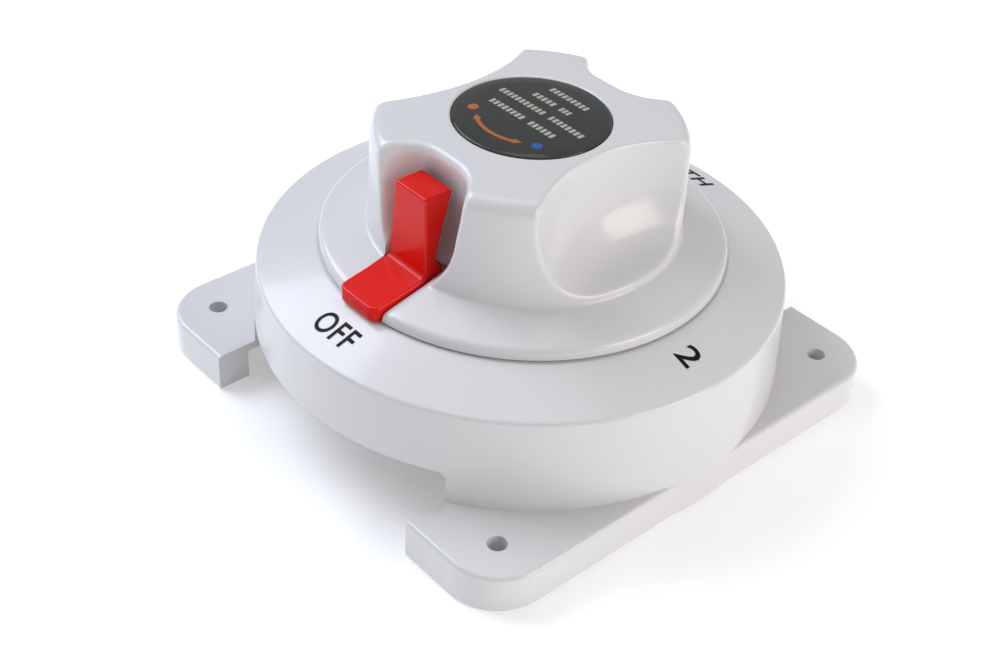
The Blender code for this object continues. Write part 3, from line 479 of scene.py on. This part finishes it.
# ==== Contact base, gasket and screws ==========================================================
# The black base is compression moulded with a slightly grainy skin; a rubber gasket seals it to
# the housing's ledge, and four stainless screws hold it.


def repaint(finish, *nodes):
    """Give CAD nodes whose shape is right a better finish."""
    for node in nodes:
        for entry in frame["nodes"][node].material_slots:
            entry.material = finish


def dark_moulding(name, colour, shine, grain=0.5, depth=0.012):
    """Filled plastic or rubber with a fine grainy skin and dusty patches."""
    made = Finish(name)
    skin = made.noise(grain, 3.0)
    dust = ((made.noise(7.0, 4.0, 0.7) - 0.5) * 2.5).clamped(0.0, 1.0)
    pale = [c * 1.6 + 0.012 for c in colour]
    made.drive(Base_Color=made.mix(dust, colour, pale), Roughness=shine + skin * 0.15 + dust * 0.1)
    made.bump((skin, depth))
    return made.material


black_plastic = dark_moulding("black_plastic", (0.022, 0.022, 0.024), 0.36)
rubber = dark_moulding("rubber", (0.016, 0.016, 0.017), 0.62, 0.35, 0.02)


def metal(name, colour, shine, tarnish, grain=(1, 1, 14), depth=0.006):
    """Bare metal: drawn or turned grain, dull patches and a little stain."""
    made = Finish(name, Metallic=1.0)
    drawn = made.noise(1.6, 3.0, 0.6, stretch=grain)
    patch = ((made.noise(4.5, 4.0, 0.65) - 0.42) * 3.0).clamped(0.0, 1.0)
    made.drive(Base_Color=made.mix(patch * 0.7, colour, tarnish),
               Roughness=shine + drawn * 0.10 + patch * 0.10)
    made.bump((drawn, depth))
    return made.material


steel = metal("stainless_steel", (0.62, 0.62, 0.61), 0.20, (0.52, 0.51, 0.49))
repaint(black_plastic, "contact_base")
repaint(rubber, "base_gasket")
repaint(steel, "base_screw_1", "base_screw_2", "base_screw_3", "base_screw_4")

# ==== Terminals ================================================================================
# Each fixed contact is a tinned copper plate on the head of a threaded stud. Under the base come
# a flat washer, a split lock washer and a hexagon nut, all stainless, for the cable's ring end.
tinned = metal("tinned_copper", (0.66, 0.64, 0.60), 0.24, (0.55, 0.47, 0.38))
repaint(tinned, "contact_common", "contact_1", "contact_2")


def ring_arc(radius, height, rounding, start, stop, count=4):
    """Profile points round one corner of a turned edge; angles are from straight up."""
    return [(radius + rounding * math.sin(math.radians(a)),
             height + rounding * math.cos(math.radians(a)))
            for a in np.linspace(start, stop, count)]


def threaded_rod(radius, bottom, top, pitch, depth, at, steps=48):
    """A rod with a true helical thread, chamfered at its lower end."""
    bm = bmesh.new()
    rows = int((top - bottom) / pitch * 12)
    rings = []
    for row in range(rows + 1):
        z = top - (top - bottom) * row / rows
        fade = min(1.0, (top - z) / pitch)
        taper = max(0.0, 1.2 - (z - bottom))
        points = []
        for i in range(steps):
            phase = (z / pitch - i / steps) % 1.0
            groove = depth * (1 - abs(2 * phase - 1) * 1.15) if fade else 0.0
            r = radius - min(depth, max(0.0, groove)) * fade - taper * 0.8
            a = math.tau * i / steps
            points.append(bm.verts.new((at[0] + r * math.cos(a), at[1] + r * math.sin(a), z)))
        rings.append(points)
    bm.faces.new(rings[0])
    bm.faces.new(rings[-1][::-1])
    for upper, lower in zip(rings, rings[1:]):
        for i in range(steps):
            j = (i + 1) % steps
            bm.faces.new((upper[i], lower[i], lower[j], upper[j]))
    bmesh.ops.recalc_face_normals(bm, faces=bm.faces)
    return bm


nut_flats = 16.0
for terminal, angle in (("common", -90), ("1", 145), ("2", 35)):
    at = (30.5 * math.cos(math.radians(angle)), 30.5 * math.sin(math.radians(angle)))
    head_low, head_high = (v.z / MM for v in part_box("stud_" + terminal))
    head = rounded_box((-7.5, -7.5, head_high - 2.1), (7.5, 7.5, head_high), 1.0, 4, "Z",
                       (*at, 0))
    rod = threaded_rod(4.72, head_low, head_high - 1.6, 1.5, 0.75, at)
    add("terminal_stud_" + terminal, shape(to_mesh("stud", rod, 50), "UNION", head), tinned,
        "case", ["stud_" + terminal])

    low, high = (v.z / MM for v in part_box("flat_washer_" + terminal))
    flat = turned([(5.05, high), *ring_arc(9.75, high - 0.25, 0.25, 0, 90),
                   *ring_arc(9.75, low + 0.25, 0.25, 90, 180), (5.05, low)], 64, True, at)
    add("terminal_flat_washer_" + terminal, to_mesh("flat_washer", flat), steel, "case",
        ["flat_washer_" + terminal])

    low, high = (v.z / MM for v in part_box("lock_washer_" + terminal))
    spring = turned([*ring_arc(5.3, high - 0.2, 0.2, -90, 0), *ring_arc(8.2, high - 0.2, 0.2, 0, 90),
                     *ring_arc(8.2, low + 0.2, 0.2, 90, 180),
                     *ring_arc(5.3, low + 0.2, 0.2, 180, 270)], 64, True, at)
    split = rounded_box((0, -0.5, -5), (20, 0.5, 5))
    middle = Vector((*at, (low + high) / 2))
    bmesh.ops.transform(split, verts=split.verts, matrix=Matrix.Translation(middle)
                        @ Matrix.Rotation(math.radians(angle), 4, "Z")
                        @ Matrix.Rotation(math.radians(25), 4, "X"))
    add("terminal_lock_washer_" + terminal,
        shape(to_mesh("lock_washer", spring), "DIFFERENCE", split), steel, "case",
        ["lock_washer_" + terminal])

    low, high = (v.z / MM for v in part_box("hex_nut_" + terminal))
    corner = nut_flats / 2 / math.cos(math.radians(30))
    hexagon = prism([(at[0] + corner * math.cos(math.radians(angle + 60 * k)),
                      at[1] + corner * math.sin(math.radians(angle + 60 * k)))
                     for k in range(6)], low, high)
    cone = turned([(0, high), (nut_flats / 2 - 0.15, high), (corner + 0.15, high - 0.95),
                   (corner + 0.15, low + 0.95), (nut_flats / 2 - 0.15, low), (0, low)], 96,
                  at=at)
    nut = shape(to_mesh("nut", hexagon), "INTERSECT", cone)
    bore = turned([(0, high + 1), (6.0, high + 1), (6.0, high), (5.03, high - 0.9),
                   (5.03, low + 0.9), (6.0, low), (6.0, low - 1), (0, low - 1)], 48, at=at)
    nut = shape(nut, "DIFFERENCE", bore)
    nut.set_sharp_from_angle(angle=math.radians(24))
    add("terminal_nut_" + terminal, nut, steel, "case", ["hex_nut_" + terminal])

# ==== Spindle, rotor and detents ===============================================================
# A brass spindle turns an acetal rotor. Two steel plungers in its rim drop into the four notches
# of the acetal track, and a sprung, tinned bridge on its underside joins the contacts.
brass = metal("brass", (0.74, 0.54, 0.25), 0.22, (0.60, 0.42, 0.20))
acetal = dark_moulding("acetal", (0.58, 0.57, 0.52), 0.34, 1.2, 0.006)
repaint(brass, "spindle")
repaint(rubber, "spindle_oring")
repaint(acetal, "rotor", "detent_ring")
repaint(tinned, "contact_bridge")
repaint(steel, "spindle_clip", "detent_plunger_1", "detent_plunger_2", "detent_spring_1",
        "detent_spring_2", "contact_spring_1", "contact_spring_2")

# ==== Knob =====================================================================================
# A four-lobed knob on a sloping round skirt, moulded in the same glossy white. Its sides have two
# wide finger scoops and two narrow recesses, one of which holds the lever.
knob_top = 74.0
skirt_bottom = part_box("knob")[0].z / MM
label_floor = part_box("knob_label")[0].z / MM - 0.3
skirt_radius = 50.5


def soft_max(a, b, radius):
    """The larger of two distances, with a fillet of about this radius where they meet."""
    width = radius / 0.854
    near = np.maximum(width - np.abs(a - b), 0) / width
    return np.maximum(a, b) + near * near * width / 4


recess_depth, recess_shift, recess_floor = 27.9, 1.9, 46.7
recess_half, recess_rounding, recess_lean, recess_foot_share = 14.7, 12.0, -10, 0.66
tower_radius, tower_round, skirt_top = 38.1, 3.0, 46.1
grip_lip, recess_lip = 0.9, 1.9


def recess_distance(x, y, z, turn):
    """Distance to a rounded block set sideways: its face leans, its sides close in below."""
    c, s = math.cos(math.radians(turn)), math.sin(math.radians(turn))
    out, side = c * x + s * y - recess_depth, c * y - s * x - recess_shift
    up = z - knob_top
    above = np.clip((z - recess_floor) / (knob_top - recess_floor), 0, 2)
    side = side / (recess_foot_share + (1 - recess_foot_share) * above)
    c, s = math.cos(math.radians(recess_lean)), math.sin(math.radians(recess_lean))
    out, up = c * out + s * up, c * up - s * out
    low, high, rounding = recess_floor - knob_top, 40, recess_rounding
    q = [np.abs(out - 30) - (30 - rounding), np.abs(side) - (recess_half - rounding),
         np.abs(up - (low + high) / 2) - ((high - low) / 2 - rounding)]
    outside = np.sqrt(sum(np.maximum(d, 0) ** 2 for d in q))
    return outside + np.minimum(np.maximum(np.maximum(q[0], q[1]), q[2]), 0) - rounding


def grip_distance(x, y, z, side):
    """Distance to a wide upright bowl beside the knob, its foot rounded as half an ellipse."""
    radius, floor, wide, tall = 43.0, 48.2, 13.0, 20.2
    r = np.hypot(x - side * (21.8 + radius), y)
    q = np.maximum(r - radius + wide, 1e-6) / wide, np.maximum(floor + tall - z, 0) / tall
    share = np.hypot(*q)
    return (share - 1) * share / np.hypot(q[0] / wide, q[1] / tall)


def knob_distance(x, y, z):
    """Negative inside the knob: tower and skirt, less the four scoops."""
    r = np.hypot(x, y)
    share = np.clip((r - 19.3) / 18.8, 0, 3)
    dome = z - (knob_top - 1.4 * share ** 1.3)
    wall = r - tower_radius - (69.0 - z) * 0.022
    tower = soft_max(dome, wall, tower_round)
    slope = (z - skirt_top + (r - 38.6) * 0.26) * 0.968
    skirt = soft_max(slope, r - skirt_radius, 1.2)
    body = -soft_max(-tower, -skirt, 0.35)
    for side, turn in ((1, -90), (-1, 90)):
        body = soft_max(body, -grip_distance(x, y, z, side), grip_lip)
        body = soft_max(body, -recess_distance(x, y, z, turn), recess_lip)
    return body


def knob_surface(turn, rise):
    """Where rays from the middle of the skirt's lower edge leave the knob."""
    dx, dy, dz = np.cos(turn) * np.cos(rise), np.sin(turn) * np.cos(rise), np.sin(rise)

    def inside(t):
        return knob_distance(t * dx, t * dy, skirt_bottom + t * dz) < 0
    near = np.zeros(dx.shape)
    far = np.full(dx.shape, 70.0)
    for t in np.arange(16.0, 70.0, 0.5):
        still = inside(np.full(dx.shape, t)) & (far == 70.0)
        leaves = ~still & (far == 70.0)
        near = np.where(still, t, near)
        far = np.where(leaves, t, far)
    for _ in range(22):
        middle = (near + far) / 2
        is_in = inside(middle)
        near, far = np.where(is_in, middle, near), np.where(is_in, far, middle)
    return np.stack([near * dx, near * dy, skirt_bottom + near * dz], -1)


def even_steps(paths, angles, count):
    """Angles that step evenly along the longest of several paths over the knob."""
    steps = sum(np.linalg.norm(np.diff(path, axis=0), axis=1) for path in paths)
    travel = np.concatenate([[0], np.cumsum(steps)])
    return np.interp(np.linspace(0, travel[-1], count), travel, angles)


climb = np.radians(np.linspace(0, 89.6, 1600))
rises = even_steps([knob_surface(np.full(climb.shape, math.radians(a)), climb)
                    for a in (0, 20, 45, 70, -90)], climb, 160)
circle = np.linspace(0, math.tau, 4001)
around = 560
turns = even_steps([knob_surface(circle, np.full(circle.shape, math.radians(a)))
                    for a in (10, 16, 24, 32, 40)], circle, around + 1)[:-1]
shell = knob_surface(*np.meshgrid(turns, rises))
for _ in range(3):
    shell[1:-1] = shell[1:-1] * 0.6 + 0.1 * (shell[:-2] + shell[2:] + np.roll(shell, 1, 1)[1:-1]
                                             + np.roll(shell, -1, 1)[1:-1])
knob_bm = bmesh.new()
rows = [[knob_bm.verts.new(p) for p in row] for row in shell]
for lower, upper in zip(rows, rows[1:]):
    for i in range(around):
        j = (i + 1) % around
        knob_bm.faces.new((lower[i], lower[j], upper[j], upper[i]))
knob_bm.faces.new(rows[0][::-1])
knob_bm.faces.new(rows[-1])
bmesh.ops.recalc_face_normals(knob_bm, faces=knob_bm.faces)
knob_mesh = to_mesh("knob", knob_bm)

skirt_hollow = turned([(0, 43.7), (36.2, 43.7), (47.6, 41.6), (48.1, skirt_bottom),
                       (48.1, skirt_bottom - 3), (0, skirt_bottom - 3)], 96)
cavity = rounded_box((-20, -21.5, 42), (20, 21.5, 68.5), 6.0, 6, "Z")
pocket = turned([(0, knob_top + 5), (20.2, knob_top + 5), (19.9, knob_top + 0.05),
                 (19.3, knob_top - 0.35), (19.3, label_floor), (0, label_floor)], 128)
knob_mesh = shape(knob_mesh, "DIFFERENCE", skirt_hollow, cavity, pocket)

pin_low, pin_high = (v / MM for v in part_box("lever_pin"))
pin_y, pin_z = (pin_low.y + pin_high.y) / 2, (pin_low.z + pin_high.z) / 2
slot_half = 7.2
hub = turned([(0, 69.5), (8.6, 69.5), (8.6, 46.1), (0, 46.1)], 48)
lugs = [rounded_box((min(side * 6.2, side * 10.8), pin_y - 3.8, pin_z - 3.0),
                    (max(side * 6.2, side * 10.8), pin_y + 3.8, 45.5)) for side in (-1, 1)]
knob_mesh = shape(knob_mesh, "UNION", hub, *lugs)
pin_way = turned([(0, 15.8), (1.5, 15.8), (1.5, -15.8), (0, -15.8)], 24)
bmesh.ops.transform(pin_way, verts=pin_way.verts, matrix=Matrix.Translation((0, pin_y, pin_z))
                    @ Matrix.Rotation(math.radians(90), 4, "Y"))
knob_mesh = shape(
    knob_mesh, "DIFFERENCE",
    rounded_box((-slot_half, -56, 20), (slot_half, pin_y + 3.5, 53.6), 1.0, 4, "Z"),
    rounded_box((-4.4, -4.4, 0), (4.4, 4.4, 62.5)), pin_way,
    turned([(0, knob_top), (5.9, knob_top), (5.9, 65.5), (2.7, 65.5), (2.7, 60), (0, 60)], 48))
knob_mesh.set_sharp_from_angle(angle=math.radians(38))
add("knob_shell", knob_mesh, white_plastic, "knob_turns", ["knob"])
repaint(steel, "knob_screw", "knob_washer")

# ==== Knob label ===============================================================================
# A clear-domed dark grey disc is glued into the knob's round pocket. Its print is generic: a
# turning arrow between a dot for each battery, and rows of plain strokes in place of words.
label_low, label_high = (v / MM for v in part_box("knob_label"))
label_radius = label_high.x
label_film = Finish("label_film", Roughness=0.10, Specular_IOR_Level=0.4)
film_tone = label_film.noise(18, 2.0)
film_grain = label_film.noise(0.35, 2.0)
label_film.drive(Base_Color=label_film.mix(film_tone * 0.6 + film_grain * 0.25,
                                           (0.034, 0.038, 0.034), (0.058, 0.062, 0.056)))
label_film.bump((label_film.noise(9.0, 1.0), 0.010))


def label_height(x, y, lift=0.0):
    """The domed top of the label."""
    share = min(1.0, math.hypot(x, y) / label_radius)
    return label_high.z - 0.42 * share ** 3 + lift


dome = [(label_radius * k / 10, label_height(label_radius * k / 10, 0)) for k in range(9)]
add("label_disc", to_mesh("label_disc", turned(
    [*dome, *ring_arc(label_radius - 0.5, label_height(label_radius - 0.5, 0) - 0.5, 0.5, 15, 90, 5),
     (label_radius, label_low.z), (0, label_low.z)], 128)), label_film.material, "knob_turns",
    ["knob_label"])


def label_print(name, colour, outlines):
    """Flat printed shapes, cut into strips and laid on the dome."""
    print_ink = Finish(name, Roughness=0.2)
    grain = print_ink.noise(0.3, 2.0)
    print_ink.drive(Base_Color=print_ink.mix(grain, colour, [c * 0.82 for c in colour]))
    bm = bmesh.new()
    for outline in outlines:
        bm.faces.new([bm.verts.new((x, y, 0)) for x, y in outline])
    for axis in ((1, 0, 0), (0, 1, 0)):
        for k in range(-17, 18):
            bmesh.ops.bisect_plane(bm, geom=[*bm.verts, *bm.edges, *bm.faces],
                                   plane_co=Vector(axis) * k, plane_no=axis)
    for v in bm.verts:
        v.co.z = label_height(v.co.x, v.co.y, 0.02)
    bmesh.ops.recalc_face_normals(bm, faces=bm.faces)
    if bm.faces and sum(f.normal.z for f in bm.faces) < 0:
        bmesh.ops.reverse_faces(bm, faces=bm.faces)
    return add(name, to_mesh(name, bm), print_ink.material, "knob_turns")


def ticks(x, y, length, height=1.9, pitch=1.42):
    """A row of short upright strokes that fills a word's length."""
    count = max(2, round(length / pitch))
    step = length / count
    return [[(x - length / 2 + step * (k + u), y + height * v)
             for u, v in ((0.14, -0.5), (0.80, -0.5), (0.80, 0.5), (0.14, 0.5))]
            for k in range(count)]


def arc_band(radius, width, start, stop, count=14):
    """Part of a ring in the middle of the label, from one angle to another."""
    angles = [math.radians(a) for a in np.linspace(start, stop, count)]
    return ([((radius + width / 2) * math.cos(a), (radius + width / 2) * math.sin(a))
             for a in angles]
            + [((radius - width / 2) * math.cos(a), (radius - width / 2) * math.sin(a))
               for a in reversed(angles)])


def arrow_tip(radius, angle, way, size=2.1):
    """A triangle on the end of an arc."""
    a = math.radians(angle)
    point = math.radians(angle + way * 130 / radius)
    return [((radius - size / 2) * math.cos(a), (radius - size / 2) * math.sin(a)),
            ((radius + size / 2) * math.cos(a), (radius + size / 2) * math.sin(a)),
            (radius * math.cos(point), radius * math.sin(point))][::way]


def disc(x, y, radius):
    return [(x + radius * math.cos(math.radians(a)), y + radius * math.sin(math.radians(a)))
            for a in range(0, 360, 20)]


rows_of_words = ((-3.0, ((6.6, 8.6), (-5.4, 11.8))), (2.4, ((9.2, 11.4), (-6.0, 15.6))),
                 (7.2, ((3.8, 3.6), (-3.4, 7.6))), (12.2, ((0, 13.0),)))
label_print("label_marks", (0.50, 0.49, 0.41),
            [tick for y, words in rows_of_words for x, length in words
             for tick in ticks(x, y, length)])
label_print("label_arrow", (0.52, 0.15, 0.03),
            [arc_band(13.2, 1.0, -118, -62), arrow_tip(13.2, -118, -1), arrow_tip(13.2, -62, 1)])
label_print("label_dot_1", (0.55, 0.15, 0.03), [disc(-11.2, -8.6, 1.3)])
label_print("label_dot_2", (0.03, 0.12, 0.42), [disc(11.2, -8.6, 1.3)])

# ==== Lock lever ===============================================================================
# The red lever is one glossy moulding: a thumb arm that stands in the recess, a foot over the
# skirt and a heel bored for the steel pin, with a coil spring round the pin in the heel's notch.
red = Finish("red_plastic", IOR=1.46, Specular_IOR_Level=0.3)
red_flow = red.noise(8, 2.0)
red.drive(Base_Color=red.mix(red_flow, (0.82, 0.009, 0.004), (0.75, 0.007, 0.003)),
          Roughness=0.17 + red_flow * 0.08)
red.bump((red.noise(3.5, 1.0), 0.008), (red.noise(0.7, 2.0), 0.0014))

lever_low, lever_high = (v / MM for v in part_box("lock_lever"))
foot_half, top_half = lever_high.x, lever_high.x - 1.2
root_z, tip_z, front_y = 46.6, 43.9, -37.1
sole = lever_low.z if lever_low.z > crown_height else crown_height + 0.35
heel = [(pin_y + 3.0 * math.sin(math.radians(a)), pin_z - 3.0 * math.cos(math.radians(a)))
        for a in range(-30, 126, 12)]
side_view = [(-28.6, lever_high.z), (front_y + 0.5, lever_high.z), (front_y + 0.06, root_z + 1.0),
             (front_y - 0.5, root_z + 0.05), (lever_low.y - 1, tip_z - 0.15),
             (lever_low.y - 1, sole), (pin_y - 4.5, sole), *heel, (front_y + 3.2, 50.5)]
lever_bm = bmesh.new()
sides = []
for side in (-1, 1):
    sides.append([lever_bm.verts.new((
        side * (foot_half + (top_half - foot_half)
                * max(0.0, (z - root_z) / (lever_high.z - root_z))), y, z))
        for y, z in side_view])
lever_bm.faces.new(sides[0])
lever_bm.faces.new(sides[1][::-1])
for i in range(len(side_view)):
    j = (i + 1) % len(side_view)
    lever_bm.faces.new((sides[0][j], sides[0][i], sides[1][i], sides[1][j]))
bmesh.ops.recalc_face_normals(lever_bm, faces=lever_bm.faces)
tip_block = rounded_box((-foot_half - 0.3, lever_low.y, sole - 5),
                        (foot_half + 0.3, pin_y + 20, lever_high.z + 5), 2.8, 8, "Z")
lever_mesh = shape(to_mesh("lever", lever_bm), "INTERSECT", tip_block)
lever_mesh = soften(lever_mesh, 0.6, 30, 4)
lever_bore = turned([(0, 20), (1.5, 20), (1.5, -20), (0, -20)], 32)
bmesh.ops.transform(lever_bore, verts=lever_bore.verts,
                    matrix=Matrix.Translation((0, pin_y, pin_z))
                    @ Matrix.Rotation(math.radians(90), 4, "Y"))
lever_mesh = shape(lever_mesh, "DIFFERENCE", lever_bore,
                   rounded_box((-2.2, pin_y - 2.6, sole - 5), (2.2, pin_y + 20, pin_z + 2.6)))
lever_mesh.set_sharp_from_angle(angle=math.radians(32))
lever = add("lever_moulding", lever_mesh, red.material, "lever_moves", ["lock_lever"])
lever_flats = lever.modifiers.new("flats", "WEIGHTED_NORMAL")
lever_flats.keep_sharp = True
repaint(steel, "lever_pin", "lever_spring")
